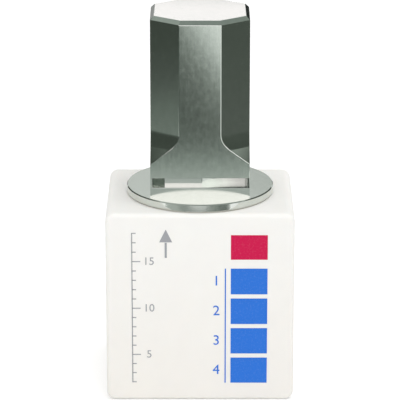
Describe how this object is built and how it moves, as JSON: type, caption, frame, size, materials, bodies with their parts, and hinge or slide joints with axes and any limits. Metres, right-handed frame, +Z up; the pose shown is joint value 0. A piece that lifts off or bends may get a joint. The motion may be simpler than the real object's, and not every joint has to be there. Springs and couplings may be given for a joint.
{
  "type": "zirconia milling block",
  "caption": "Chalk-white dental zirconia block with a round flange and faceted square shank bonded on for clamping in a mill.",
  "frame": {"origin": "middle of the block's lower end face", "axes": "+Z up along the shank, +X across the block's width, -Y towards the face with the locating slot"},
  "size_m": [0.019, 0.0154, 0.0391],
  "materials": {
    "zirconia": "pre-sintered, chalky, matt",
    "adhesive": "cured two-part adhesive",
    "mandrel_metal": "satin, milled and tumbled"
  },
  "bodies": {
    "root": {"zirconia_block": "zirconia", "adhesive_film": "adhesive", "mandrel": "mandrel_metal"}
  },
  "joints": []
}
